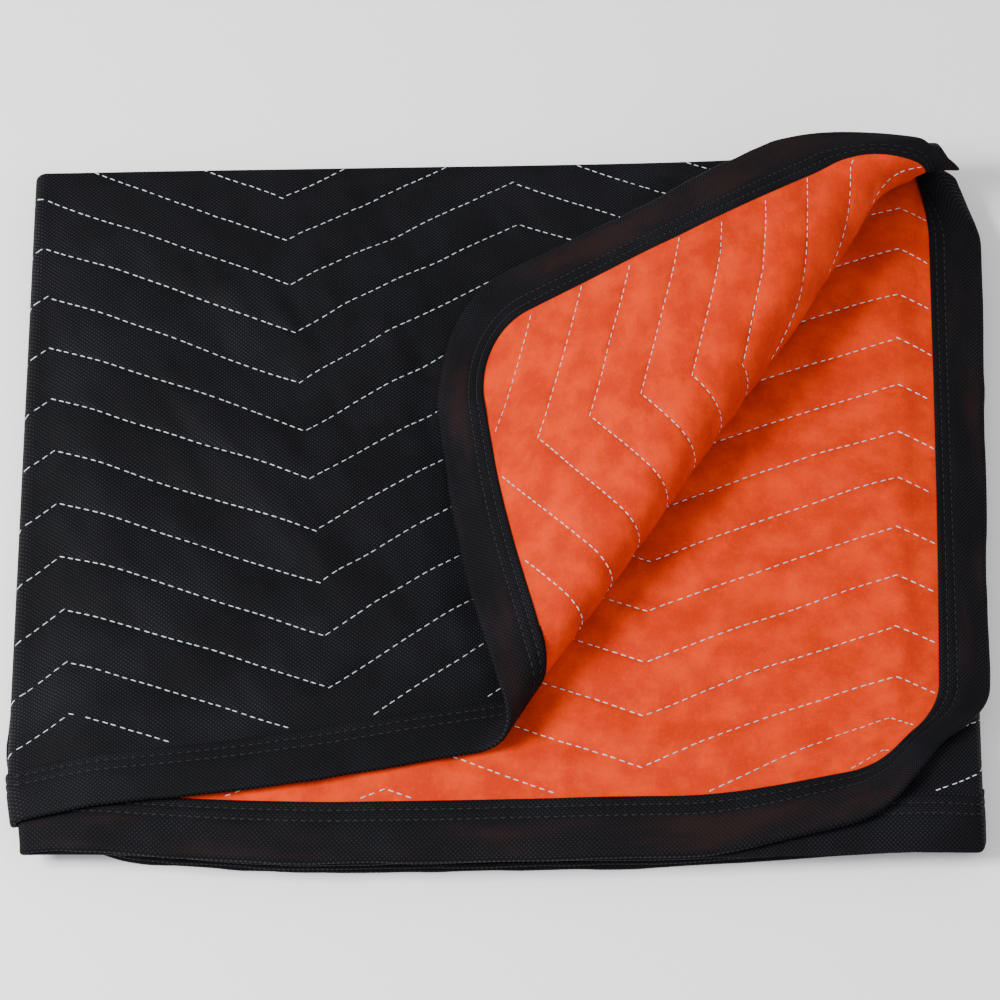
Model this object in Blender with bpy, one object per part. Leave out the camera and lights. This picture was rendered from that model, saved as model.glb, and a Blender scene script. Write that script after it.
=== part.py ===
# Quilted moving pad, folded in half and then in thirds, one corner turned back.
# Three cut pieces: a black face, an orange face and a binding sewn round the edge.
import bpy
import numpy as np
from mathutils import Vector
from mathutils.geometry import delaunay_2d_cdt

# The flat pad, in metres. a runs along the length from the free end of the upper
# panel, b across the width, and w is the distance from the middle of the ply.
PAD_LENGTH = 1.829
PAD_WIDTH = 1.016
HALF_WIDTH = PAD_WIDTH / 2
CORNER_RADIUS = 0.088
CORNER_STEPS = 6
SHARP_ANGLE = np.radians(50)
PANEL = PAD_LENGTH / 3
FREE_END = PANEL / 2 + 0.024
LEFT_FOLD = -PANEL / 2 + 0.0085
RIGHT_FOLD = LEFT_FOLD - PANEL
FAR_END = FREE_END - PAD_LENGTH

# Cloth and binding thicknesses
PITCH = 0.0050
FACE_GAP = 0.00015
HEM_FACE = 0.00065
CREST_FACE = 0.0021
CHANNEL_FACE = 0.0007
CREASE_FACE = 0.0010
BINDING_INNER = 0.00095
BINDING_OUTER = 0.00195
BINDING_WIDTH = 0.038
PUFF_FROM = 0.046
WRAP_INNER = 0.0007
WRAP_OUTER = 0.0017
SIDE_STEP = 0.16
RIM_TOLERANCE = 0.0001
NET_MERGE = 0.00001

# Chevron quilting of the upper half (side -1) and of the under half (side 1).
# Columns: side, spacing of the rows, first row, place of an apex, half a chevron's
# length, its slope, tilt of the rows, skew of the apexes
QUILT = ((-1, 0.0412, 0.0273, -0.1413, 0.1523, 0.598, 0.0166, 0.0675),
         (1, 0.0355, 0.0359, -0.0372, 0.1528, 0.407, -0.0177, 0.0091))
SKEW_ROUNDS = 4
LEAN_ROUNDS = 12
ROWS_PER_HALF = 20
QUILT_HEM_GAP = 0.002
QUILT_FOLD_GAP = 0.012
FLOOR_MARGIN = 0.02
SEAM_SAMPLES = 40

# The half fold is tight at the left and a loose loop at the right
FOLD_RADIUS = PITCH / 2
LOOP_FROM = 0.05
LOOP_RADIUS = 0.0115
LOOP_REACH = 0.12
LOOP_POINTS = 7
LEAN_UPPER = 0.0107
LEAN_UNDER = 0.070
SHORT_LEFT = 0.0181
SHORT_RIGHT = 0.1252
RIGHT_REACH = 0.004
RIGHT_LEAN = 0.055
BACK = PAD_WIDTH / 4

# The turned corner: a soft roll along a slanted line, then a flap lying back.
# Columns of the table: place along the line, radius of the roll there, how far the
# flap takes to settle, and the height that it keeps
ROLL_X = 0.0938
ROLL_Y = -0.0027
ROLL_ANGLE = np.radians(58.1)
ROLL_SWING = 1.48
ROLL_SWING_FROM = 0.2494
ROLL_SWING_SPAN = 0.05
ROLL_STEPS = 5
ROLL_SPAN = (-0.28, 0.36)
ROLL_POINTS = 20
OVERRUN = 0.05
ROLL = ((-0.25, 0.0116, 0.087, 0.002), (-0.16, 0.0124, 0.110, 0.001), (0.0, 0.0196, 0.145, 0.0),
        (0.15, 0.0240, 0.231, 0.0028), (0.26, 0.0221, 0.282, 0.0156), (0.36, 0.0130, 0.215, 0.0326))
FLAP_STEPS = (0.045, 0.09)

# The pack is turned a little on the floor
PACK_TURN = np.radians(1.2)
PACK_CENTRE = (0.01275, 0.00125)
FLOOR_DROP = PITCH / 2 - BINDING_OUTER


def smooth(t):
    """Ease from 0 to 1 with level ends."""
    t = np.clip(t, 0.0, 1.0)
    return t * t * (3.0 - 2.0 * t)


def loop_radius(s):
    """Radius of the half fold at the place s along the pack."""
    return FOLD_RADIUS + LOOP_RADIUS * smooth((s - LOOP_FROM) / (FREE_END - LOOP_FROM)) ** 2


def shortening(s):
    """How much the upper half is drawn back at its free edge, at the place s."""
    across = np.clip((s - LEFT_FOLD) / PANEL, 0.0, 1.0)
    upper = SHORT_LEFT + (SHORT_RIGHT - SHORT_LEFT) * across
    return np.where(s > LEFT_FOLD, upper, SHORT_LEFT * smooth(1.0 + (s - LEFT_FOLD) / PANEL))


def lean(b):
    """How far the length is skewed at b, as the half fold isn't square."""
    return b * np.where(b < 0, LEAN_UPPER, LEAN_UNDER)


def half_fold(a, b, w):
    """Fold across the width: returns s, the level place y, and the folded y and height."""
    s = a - lean(b) * smooth((a - RIGHT_FOLD) / PANEL)
    r = loop_radius(s)
    d = b + np.pi * (r - FOLD_RADIUS) / 2
    quarter = np.pi * r / 2
    angle = np.clip(d / r, -np.pi / 2, np.pi / 2)
    depth = np.maximum(np.abs(d) - quarter, 0.0)
    upper = d < 0
    drawn = np.where(upper, shortening(s) * depth / HALF_WIDTH, 0.0)
    level = BACK - r - depth + drawn
    y = level + (r + w) * np.cos(angle)
    lift = r - FOLD_RADIUS
    height = lift - (r + w) * np.sin(angle)
    height = np.where(upper, height - 2 * lift * smooth(depth / LOOP_REACH), height)
    return s, level, y, height, upper


def roll_swing(along):
    """How far the roll line swings aside near the back: a parabola, then straight."""
    eased = np.clip((along - ROLL_SWING_FROM) / ROLL_SWING_SPAN, 0.0, 1.0)
    straight = np.maximum(along - ROLL_SWING_FROM - ROLL_SWING_SPAN, 0.0)
    return ROLL_SWING * (ROLL_SWING_SPAN * eased ** 2 / 2 + straight)


def along_and_past(s, level):
    """Places along the roll line and past it, towards the corner."""
    ux, uy = np.cos(ROLL_ANGLE), np.sin(ROLL_ANGLE)
    along = (s - ROLL_X) * ux + (level - ROLL_Y) * uy
    past = (s - ROLL_X) * uy - (level - ROLL_Y) * ux - roll_swing(along)
    return along, past


def roll_at(along):
    """Radius, settling distance and kept height of the roll, read from its table."""
    table = np.array(ROLL)
    return [np.interp(along, table[:, 0], table[:, column]) for column in (1, 2, 3)]


def turn_corner(s, level, y, height, upper, w):
    """Roll the upper ply's corner over and lay it back on the ply."""
    along, past = along_and_past(s, level)
    radius, settle, kept = roll_at(along)
    turned = upper & (past > 0.0) & (s > LEFT_FOLD + BINDING_WIDTH)
    angle = np.clip(past / radius, 0.0, np.pi)
    over = np.maximum(past - np.pi * radius, 0.0)
    shift = (radius - w) * np.sin(angle) - over - past
    rolled = radius - (radius - w) * np.cos(angle) - w
    settled = PITCH + kept + (2 * radius - PITCH - kept) * (1.0 - smooth(over / settle)) - 2 * w
    rise = np.where(over > 0.0, settled, rolled)
    x = np.where(turned, s + shift * np.sin(ROLL_ANGLE), s)
    y = np.where(turned, y - shift * np.cos(ROLL_ANGLE), y)
    return x, y, np.where(turned, height + rise, height)


def thirds(s, x, y, height):
    """Fold the doubled pad back and forth in three panels."""
    h = np.pi * PITCH / 2
    x_left = LEFT_FOLD + h
    x_right = x_left + PANEL - 2 * h + RIGHT_REACH - RIGHT_LEAN * (BACK - y)
    drawn = (x_right - x_left) / (PANEL - 2 * h)
    z = 5 * PITCH + height
    turn = np.clip((LEFT_FOLD + h - s) / PITCH, 0.0, np.pi)
    bent = x_left - (PITCH + height) * np.sin(turn) + np.maximum(LEFT_FOLD - h - s, 0.0) * drawn
    first = s < LEFT_FOLD + h
    x = np.where(first, bent, x)
    z = np.where(first, 4 * PITCH + (PITCH + height) * np.cos(turn), z)
    turn = np.clip((RIGHT_FOLD + h - s) / PITCH, 0.0, np.pi)
    bent = x_right + (PITCH - height) * np.sin(turn) - np.maximum(RIGHT_FOLD - h - s, 0.0)
    second = s < RIGHT_FOLD + h
    x = np.where(second, bent, x)
    z = np.where(second, 2 * PITCH + (PITCH - height) * np.cos(turn), z)
    return x, z


def fold(a, b, w):
    """Place of the flat point (a, b, w) in the folded pack."""
    s, level, y, height, upper = half_fold(a, b, w)
    x, y, height = turn_corner(s, level, y, height, upper, w)
    x, z = thirds(s, x, y, height)
    z = np.maximum(z - FLOOR_DROP, 0.0)
    c, t = np.cos(PACK_TURN), np.sin(PACK_TURN)
    return np.stack([x * c - y * t - PACK_CENTRE[0], x * t + y * c - PACK_CENTRE[1], z], axis=-1)


def outline(inset):
    """The flat pad's rounded outline, drawn in from its edge by inset."""
    radius = CORNER_RADIUS - inset
    points = []
    centre_a = (FREE_END - CORNER_RADIUS, FAR_END + CORNER_RADIUS)
    centre_b = HALF_WIDTH - CORNER_RADIUS
    corners = ((centre_a[0], -centre_b, -90), (centre_a[0], centre_b, 0),
               (centre_a[1], centre_b, 90), (centre_a[1], -centre_b, 180))
    for ca, cb, start in corners:
        for angle in np.radians(start + np.linspace(0, 90, CORNER_STEPS + 1)):
            points.append((ca + radius * np.cos(angle), cb + radius * np.sin(angle)))
    return np.array(points)


def divided(loop):
    """Closed outline with its long sides cut into steps of about SIDE_STEP."""
    points = []
    for start, end in zip(loop, np.roll(loop, -1, axis=0)):
        steps = max(1, int(np.hypot(*(end - start)) / SIDE_STEP))
        points.extend(start + (end - start) * i / steps for i in range(steps))
    return np.array(points)


def edge_distance(a, b):
    """Distance inwards from the rounded outline."""
    pa = np.abs(a - (FREE_END + FAR_END) / 2) - (PAD_LENGTH / 2 - CORNER_RADIUS)
    pb = np.abs(b) - (HALF_WIDTH - CORNER_RADIUS)
    outside = np.hypot(np.maximum(pa, 0), np.maximum(pb, 0))
    return CORNER_RADIUS - outside - np.minimum(np.maximum(pa, pb), 0.0)


def wave(a, b, phase, half, slope, tilt, skew):
    """Chevron wave of one half period up and one down, tilted and skewed."""
    t = ((a + skew * b - phase) / half) % 2.0
    return half * slope * (1.0 - np.abs(t - 1.0)) + tilt * np.clip(a, LEFT_FOLD, FREE_END)


def row_place(a, b):
    """Place across the chevron rows: a whole number lies on a seam."""
    place = np.zeros_like(b)
    for side, row, start, *chevron in QUILT:
        here = (side * (b - wave(a, b, *chevron)) - start) / row
        place = np.where(np.sign(b) == side, here, place)
    return place


def puff(a, b):
    """Height of the quilting, from 0 on a seam to 1 between two seams."""
    return np.abs(np.sin(np.pi * row_place(a, b)))


def quilt_lines():
    """Seams and the crests between them, as flat polylines."""
    lines = []
    for side, row, start, phase, half, slope, tilt, skew in QUILT:
        first = np.ceil((FAR_END - phase) / half)
        last = np.floor((FREE_END - phase) / half)
        apexes = phase + half * np.arange(first, last + 1)
        for k in np.arange(-2 * ROWS_PER_HALF, 2 * ROWS_PER_HALF) / 2:
            b = np.full_like(apexes, side * (start + k * row))
            for _ in range(SKEW_ROUNDS):
                a = apexes - skew * b
                b = side * (start + k * row) + wave(a, b, phase, half, slope, tilt, skew)
            ends = np.array([FAR_END, FREE_END])
            end_b = side * (start + k * row) + wave(ends, b[[0, -1]], phase, half, slope, tilt, skew)
            a = np.concatenate([ends[:1], a, ends[1:]])
            b = np.concatenate([end_b[:1], b, end_b[1:]])
            order = np.argsort(a)
            lines.extend(clip_line(a[order], b[order], side))
    return lines


def clip_line(a, b, side):
    """Keep the stretches of a polyline inside the hem and on its own half."""
    steps = np.arange(SEAM_SAMPLES * (len(a) - 1) + 1) / SEAM_SAMPLES
    knots = np.arange(len(a))
    fine_a = np.interp(steps, knots, a)
    fine_b = np.interp(steps, knots, b)
    keep = edge_distance(fine_a, fine_b) > PUFF_FROM + QUILT_HEM_GAP
    keep = keep & (side * fine_b > QUILT_FOLD_GAP)
    keep = keep & ((side < 0) | (fine_a > RIGHT_FOLD - FLOOR_MARGIN))
    starts = np.where(keep & ~np.append(False, keep[:-1]))[0]
    ends = np.where(keep & ~np.append(keep[1:], False))[0]
    pieces = []
    for start, end in zip(starts, ends):
        apexes = np.arange(start, end) // SEAM_SAMPLES * SEAM_SAMPLES
        picked = np.unique(np.concatenate([[start, end], apexes[apexes > start]]))
        if end > start:
            pieces.append(np.stack([fine_a[picked], fine_b[picked]], axis=-1))
    return pieces


def fold_lines():
    """Lines of the half fold, the thirds folds and the corner's roll."""
    lines = []
    a = np.concatenate([[FAR_END], np.linspace(LOOP_FROM, FREE_END, LOOP_POINTS)])
    for part in (-1.0, -0.5, 0.0, 0.5, 1.0):
        r = loop_radius(a)
        lines.append(np.stack([a, (part - 1) * np.pi * r / 2 + np.pi * FOLD_RADIUS / 2], axis=-1))
    b = np.array([-HALF_WIDTH, 0.0, HALF_WIDTH])
    h = np.pi * PITCH / 2
    for centre in (LEFT_FOLD, RIGHT_FOLD):
        for part in (-1.0, -1 / 3, 1 / 3, 1.0):
            s = centre + part * h
            along = s + b * 0.0
            for _ in range(LEAN_ROUNDS):
                along = s + lean(b) * smooth((along - RIGHT_FOLD) / PANEL)
            lines.append(np.stack([along, b], axis=-1))
    lines.extend(roll_lines())
    return lines


def roll_lines():
    """Lines along the roll, at steps of its turn and then down the flap."""
    lines = []
    along = np.linspace(*ROLL_SPAN, ROLL_POINTS)
    radius = roll_at(along)[0]
    steps = [("turn", part) for part in np.linspace(0.0, 1.0, ROLL_STEPS + 1)]
    steps += [("flap", distance) for distance in FLAP_STEPS]
    for kind, amount in steps:
        past = np.pi * radius * amount if kind == "turn" else np.pi * radius + amount
        past = past + roll_swing(along)
        s = ROLL_X + along * np.cos(ROLL_ANGLE) + past * np.sin(ROLL_ANGLE)
        level = ROLL_Y + along * np.sin(ROLL_ANGLE) - past * np.cos(ROLL_ANGLE)
        r = loop_radius(s)
        depth = (BACK - r - level) / (1.0 - shortening(s) / HALF_WIDTH)
        b = -depth - np.pi * r + np.pi * FOLD_RADIUS / 2
        a = s + lean(b)
        keep = (depth > 0.0) & (a < FREE_END + OVERRUN) & (b > -HALF_WIDTH - OVERRUN)
        if keep.sum() > 1:
            lines.append(np.stack([a[keep], b[keep]], axis=-1))
    return lines


def flat_net():
    """Triangulate the flat pad along its outline, hem, seams, crests and folds."""
    points, edges = [], []

    def add(line, closed=False):
        start = len(points)
        points.extend(Vector((float(p[0]), float(p[1]))) for p in line)
        edges.extend((start + i, start + i + 1) for i in range(len(line) - 1))
        if closed:
            edges.append((len(points) - 1, start))

    rim = divided(outline(0.0))
    points.extend(Vector((float(p[0]), float(p[1]))) for p in rim)
    add(divided(outline(BINDING_WIDTH)), closed=True)
    add(divided(outline(PUFF_FROM)), closed=True)
    for line in fold_lines() + quilt_lines():
        add(line)
    result = delaunay_2d_cdt(points, edges, [list(range(len(rim)))], 1, NET_MERGE)
    verts = np.array([(p.x, p.y) for p in result[0]])
    faces = np.array([list(f) for f in result[2] if len(f) == 3])
    centres = verts[faces].mean(axis=1)
    inside = edge_distance(centres[:, 0], centres[:, 1]) > -RIM_TOLERANCE
    faces = faces[inside]
    used = np.unique(faces)
    renumber = np.full(len(verts), -1)
    renumber[used] = np.arange(len(used))
    return verts[used], renumber[faces]


def border_loops(faces):
    """Directed border edges of a set of triangles."""
    seen = set()
    for f in faces:
        for i in range(3):
            seen.add((int(f[i]), int(f[(i + 1) % 3])))
    return [e for e in seen if (e[1], e[0]) not in seen]


def cloth_mesh(name, upper, lower, faces):
    """Closed sheet between two mapped copies of the flat triangles."""
    used = np.unique(faces)
    renumber = {int(v): i for i, v in enumerate(used)}
    n = len(used)
    points = np.concatenate([upper[used], lower[used]])
    tris = [tuple(renumber[int(v)] for v in f) for f in faces]
    tris += [tuple(renumber[int(v)] + n for v in reversed(f)) for f in faces]
    for i, j in border_loops(faces):
        p, q = renumber[i], renumber[j]
        tris.append((q, p, p + n))
        tris.append((q, p + n, q + n))
    mesh = bpy.data.meshes.new(name)
    mesh.from_pydata(points.tolist(), [], tris)
    return mesh


def face_thickness(verts, side):
    """Distance of a face cloth's outer side from the middle of the ply."""
    a, b = verts[:, 0], verts[:, 1]
    inwards = edge_distance(a, b)
    quilted = CHANNEL_FACE + (CREST_FACE - CHANNEL_FACE) * puff(a, b)
    s = a - lean(b) * smooth((a - RIGHT_FOLD) / PANEL)
    on_floor = (side > 0) & (b > np.pi * FOLD_RADIUS) & (s < RIGHT_FOLD - np.pi * PITCH)
    quilted = np.where(on_floor, BINDING_OUTER, quilted)
    near_fold = np.abs(b + np.pi * (loop_radius(s) - FOLD_RADIUS) / 2) < QUILT_FOLD_GAP
    quilted = np.where(near_fold & ~on_floor, CREASE_FACE, quilted)
    return np.where(inwards < BINDING_WIDTH + RIM_TOLERANCE, HEM_FACE, quilted)


def make_material(name, colour, roughness):
    """Plain cloth material."""
    material = bpy.data.materials.new(name)
    material.use_nodes = True
    shader = material.node_tree.nodes["Principled BSDF"]
    shader.inputs["Base Color"].default_value = (*colour, 1.0)
    shader.inputs["Roughness"].default_value = roughness
    shader.inputs["Metallic"].default_value = 0.0
    return material


def add_object(mesh, material):
    """Put a mesh in the scene, shaded smooth but for its sharp edges."""
    mesh.materials.append(material)
    mesh.shade_smooth()
    mesh.set_sharp_from_angle(angle=SHARP_ANGLE)
    item = bpy.data.objects.new(mesh.name, mesh)
    bpy.context.scene.collection.objects.link(item)
    return item


def make_face(name, side, verts, faces, material):
    """One face cloth: side 1 is the black one, side -1 the orange one."""
    a, b = verts[:, 0], verts[:, 1]
    outer = fold(a, b, side * face_thickness(verts, side))
    inner = fold(a, b, side * FACE_GAP * np.ones(len(a)))
    if side > 0:
        return add_object(cloth_mesh(name, outer, inner, faces), material)
    return add_object(cloth_mesh(name, inner, outer, faces), material)


def pushed_out(verts, amount):
    """Move the outline's points outwards by amount."""
    a, b = verts[:, 0].copy(), verts[:, 1].copy()
    on_rim = edge_distance(a, b) < RIM_TOLERANCE
    ca = np.clip(a, FAR_END + CORNER_RADIUS, FREE_END - CORNER_RADIUS)
    cb = np.clip(b, CORNER_RADIUS - HALF_WIDTH, HALF_WIDTH - CORNER_RADIUS)
    length = np.maximum(np.hypot(a - ca, b - cb), 1e-9)
    a[on_rim] += amount * ((a - ca) / length)[on_rim]
    b[on_rim] += amount * ((b - cb) / length)[on_rim]
    return a, b


def make_binding(name, verts, faces, material):
    """Folded strip that covers both sides of the whole edge, as one closed ring."""
    centres = verts[faces].mean(axis=1)
    band = faces[edge_distance(centres[:, 0], centres[:, 1]) < BINDING_WIDTH]
    used = np.unique(band)
    renumber = np.full(len(verts), -1)
    renumber[used] = np.arange(len(used))
    band = renumber[band]
    points = verts[used]
    n = len(used)
    layers = []
    for w, wrap in ((BINDING_OUTER, WRAP_OUTER), (BINDING_INNER, WRAP_INNER),
                    (-BINDING_INNER, WRAP_INNER), (-BINDING_OUTER, WRAP_OUTER)):
        a, b = pushed_out(points, wrap)
        layers.append(fold(a, b, w * np.ones(n)))
    tris = []
    for layer, flip in ((0, False), (1, True), (2, False), (3, True)):
        for f in band:
            order = f[::-1] if flip else f
            tris.append(tuple(int(v) + layer * n for v in order))
    on_rim = edge_distance(points[:, 0], points[:, 1]) < RIM_TOLERANCE
    for i, j in border_loops(band):
        walls = ((0, 3), (2, 1)) if on_rim[i] and on_rim[j] else ((0, 1), (2, 3))
        for top, low in walls:
            p, q, r, t = i + top * n, j + top * n, i + low * n, j + low * n
            tris.append((q, p, r))
            tris.append((q, r, t))
    mesh = bpy.data.meshes.new(name)
    mesh.from_pydata(np.concatenate(layers).tolist(), [], tris)
    return add_object(mesh, material)


def main():
    for item in list(bpy.data.objects):
        bpy.data.objects.remove(item, do_unlink=True)
    verts, faces = flat_net()
    black = make_material("black_nonwoven", (0.012, 0.012, 0.015), 0.72)
    orange = make_material("orange_nonwoven", (0.80, 0.115, 0.014), 0.62)
    trim = make_material("black_binding", (0.010, 0.010, 0.012), 0.75)
    made = [make_face("black_face", 1, verts, faces, black),
            make_face("orange_face", -1, verts, faces, orange),
            make_binding("edge_binding", verts, faces, trim)]
    for item in made:
        corners = np.array([v.co for v in item.data.vertices])
        print(item.name, len(item.data.polygons), corners.min(axis=0).round(4), corners.max(axis=0).round(4))


main()
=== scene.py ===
# %% [markdown]
# A quilted moving pad is two sheets of nonwoven cloth with a thin filling between
# them, sewn through in chevron rows and bound round the edge. Here it lies folded in
# half and then in thirds, with one corner turned back. This lesson makes the pad flat
# first and folds every piece with the same formula, so that cloth, binding and
# stitches all land in the same place.

import bpy
import numpy as np
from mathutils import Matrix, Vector
from mathutils.bvhtree import BVHTree


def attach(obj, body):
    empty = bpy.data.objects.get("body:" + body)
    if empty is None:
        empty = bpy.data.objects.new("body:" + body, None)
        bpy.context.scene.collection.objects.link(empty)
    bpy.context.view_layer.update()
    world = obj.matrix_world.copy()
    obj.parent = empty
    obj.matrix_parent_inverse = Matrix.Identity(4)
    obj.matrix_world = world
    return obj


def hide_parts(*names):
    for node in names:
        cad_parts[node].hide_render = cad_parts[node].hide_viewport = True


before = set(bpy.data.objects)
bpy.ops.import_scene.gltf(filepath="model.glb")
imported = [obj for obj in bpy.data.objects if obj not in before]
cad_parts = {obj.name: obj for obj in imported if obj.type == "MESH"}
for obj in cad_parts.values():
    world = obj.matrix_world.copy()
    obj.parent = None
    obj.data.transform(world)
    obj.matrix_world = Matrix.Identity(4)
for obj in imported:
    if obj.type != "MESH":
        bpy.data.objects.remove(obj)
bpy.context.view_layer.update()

# %% [markdown]
# The camera comes first. The pad was seen from the front and from well above with a
# long lens. A pale floor and broad lamps give the soft, even light. The brightest lamp
# stands at the left, so the turned corner shades the orange cloth beside it.

# %% Camera, floor and light
VIEW_DISTANCE = 2.5
VIEW_ELEVATION = np.radians(59.0)
PIXELS_PER_METRE = 1575.0
SENSOR = 36.0
IMAGE_SIZE = 1000
AIM = Vector((-0.0134, 0.0108, 0.0))
FLOOR_HALF = 6.0
FLOOR_COLOUR = (0.88, 0.88, 0.88, 1.0)
WORLD_STRENGTH = 0.80
# columns: name, place, size, power, colour
LAMPS = (
    ("key_lamp", (-1.7, -0.5, 1.7), 0.9, 120.0, (1.0, 0.99, 0.97)),
    ("fill_lamp", (1.2, -1.6, 2.6), 2.4, 34.0, (0.96, 0.98, 1.0)),
)


def make_camera():
    """A camera that looks at AIM from the front, at the photograph's elevation."""
    data = bpy.data.cameras.new("view_camera")
    data.sensor_width = SENSOR
    data.lens = PIXELS_PER_METRE * VIEW_DISTANCE / IMAGE_SIZE * SENSOR
    camera = bpy.data.objects.new("view_camera", data)
    bpy.context.scene.collection.objects.link(camera)
    away = Vector((0.0, -np.cos(VIEW_ELEVATION), np.sin(VIEW_ELEVATION)))
    camera.location = AIM + away * VIEW_DISTANCE
    camera.rotation_euler = (np.pi / 2 - VIEW_ELEVATION, 0.0, 0.0)
    bpy.context.scene.camera = camera


def make_lamp(name, spot, size, power, colour):
    """A square area lamp at a spot, aimed at the middle of the pad."""
    data = bpy.data.lights.new(name, "AREA")
    data.size = size
    data.energy = power
    data.color = colour
    lamp = bpy.data.objects.new(name, data)
    lamp.location = spot
    lamp.rotation_euler = (-Vector(spot)).to_track_quat("-Z", "Y").to_euler()
    bpy.context.scene.collection.objects.link(lamp)


def make_floor():
    """A broad pale floor, level with the underside of the pad."""
    signs = ((-1, -1), (1, -1), (1, 1), (-1, 1))
    mesh = bpy.data.meshes.new("floor")
    mesh.from_pydata([(FLOOR_HALF * i, FLOOR_HALF * j, 0) for i, j in signs], [], [(0, 1, 2, 3)])
    floor = bpy.data.objects.new("floor", mesh)
    bpy.context.scene.collection.objects.link(floor)
    material = bpy.data.materials.new("floor_paper")
    material.use_nodes = True
    shader = material.node_tree.nodes["Principled BSDF"]
    shader.inputs["Base Color"].default_value = FLOOR_COLOUR
    shader.inputs["Roughness"].default_value = 0.9
    mesh.materials.append(material)


make_camera()
make_floor()
for lamp_row in LAMPS:
    make_lamp(*lamp_row)
world = bpy.data.worlds.new("studio")
bpy.context.scene.world = world
world.use_nodes = True
world.node_tree.nodes["Background"].inputs["Color"].default_value = (1.0, 1.0, 1.0, 1.0)
world.node_tree.nodes["Background"].inputs["Strength"].default_value = WORLD_STRENGTH
print("camera, floor and lamps made")

# %% [markdown]
# The flat pad is measured along its length (a) and across it (b), with a at zero in
# the middle of the upper panel and b at zero on the half fold. The numbers are the
# same as in the solids that the pieces stand for.

# %% Sizes of the flat pad
PAD_LENGTH = 1.829
PAD_WIDTH = 1.016
HALF_WIDTH = PAD_WIDTH / 2
CORNER_RADIUS = 0.088
PANEL = PAD_LENGTH / 3
FREE_END = PANEL / 2 + 0.024
LEFT_FOLD = -PANEL / 2 + 0.0085
RIGHT_FOLD = LEFT_FOLD - PANEL
FAR_END = FREE_END - PAD_LENGTH
BACK = PAD_WIDTH / 4

PITCH = 0.0050
HEM_FACE = 0.00065
CREST_FACE = 0.0021
SEAM_FACE = 0.0007
BINDING_OUTER = 0.00195
BINDING_WIDTH = 0.038
PUFF_FROM = 0.048
FOLD_RADIUS = PITCH / 2
print("flat pad", PAD_LENGTH, "by", PAD_WIDTH, "m, folded pack", round(PANEL, 3), "by", HALF_WIDTH)

# %% [markdown]
# Folding is one chain of formulas, and each takes whole arrays, so a mesh of any size
# is folded at once. First the half fold bends the cloth round a small radius at the
# back, which opens into a loose loop at the right.

# %% The half fold
LOOP_FROM, LOOP_RADIUS, LOOP_REACH = 0.05, 0.0115, 0.12
LEAN_UPPER, LEAN_UNDER = 0.0107, 0.070
SHORT_LEFT, SHORT_RIGHT = 0.0181, 0.1252


def smooth(t):
    """Ease from 0 to 1 with level ends: three t squared less two t cubed."""
    t = np.clip(t, 0.0, 1.0)
    return t * t * (3.0 - 2.0 * t)


def loop_radius(s):
    """The half fold's radius: tight at the left, growing as a squared ease to the right."""
    return FOLD_RADIUS + LOOP_RADIUS * smooth((s - LOOP_FROM) / (FREE_END - LOOP_FROM)) ** 2


def shortening(s):
    """How far the upper layer's free edge is drawn back at the place s along the pack."""
    across = np.clip((s - LEFT_FOLD) / PANEL, 0.0, 1.0)
    upper = SHORT_LEFT + (SHORT_RIGHT - SHORT_LEFT) * across
    return np.where(s > LEFT_FOLD, upper, SHORT_LEFT * smooth(1.0 + (s - LEFT_FOLD) / PANEL))


def lean(b):
    """How far the pad's length is skewed at b, by the half fold not being square."""
    return b * np.where(b < 0, LEAN_UPPER, LEAN_UNDER)


def half_fold(a, b, w):
    """Wrap b round a half circle at the back; both ends run level from it."""
    s = a - lean(b) * smooth((a - RIGHT_FOLD) / PANEL)
    r = loop_radius(s)
    d = b + np.pi * (r - FOLD_RADIUS) / 2
    angle = np.clip(d / r, -np.pi / 2, np.pi / 2)
    depth = np.maximum(np.abs(d) - np.pi * r / 2, 0.0)
    upper = d < 0
    drawn = np.where(upper, shortening(s) * depth / HALF_WIDTH, 0.0)
    level = BACK - r - depth + drawn
    y = level + (r + w) * np.cos(angle)
    lift = r - FOLD_RADIUS
    height = lift - (r + w) * np.sin(angle)
    height = np.where(upper, height - 2 * lift * smooth(depth / LOOP_REACH), height)
    return s, level, y, height, upper


print("half fold radius", FOLD_RADIUS, "m at the left and", float(loop_radius(FREE_END)), "m at the right")

# %% [markdown]
# Then the corner of the upper layer rolls over along a slanted line and lies back on
# the pad. The roll is a half circle whose radius grows along the line. Past it the
# cloth runs back and settles onto the layer below.

# %% The turned corner
ROLL_X, ROLL_Y, ROLL_ANGLE = 0.0938, -0.0027, np.radians(58.1)
ROLL_SWING, ROLL_SWING_FROM, ROLL_SWING_SPAN = 1.48, 0.2494, 0.05
# columns: place along the roll, its radius, how far the flap takes to settle, rise kept
ROLL = np.array([
    (-0.25, 0.0116, 0.087, 0.002), (-0.16, 0.0124, 0.110, 0.001), (0.0, 0.0196, 0.145, 0.0),
    (0.15, 0.0240, 0.231, 0.0028), (0.26, 0.0221, 0.282, 0.0156), (0.36, 0.0130, 0.215, 0.0326),
])


def roll_swing(along):
    """How far the roll line swings aside near the back: a parabola, then straight."""
    eased = np.clip((along - ROLL_SWING_FROM) / ROLL_SWING_SPAN, 0.0, 1.0)
    straight = np.maximum(along - ROLL_SWING_FROM - ROLL_SWING_SPAN, 0.0)
    return ROLL_SWING * (ROLL_SWING_SPAN * eased ** 2 / 2 + straight)


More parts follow.
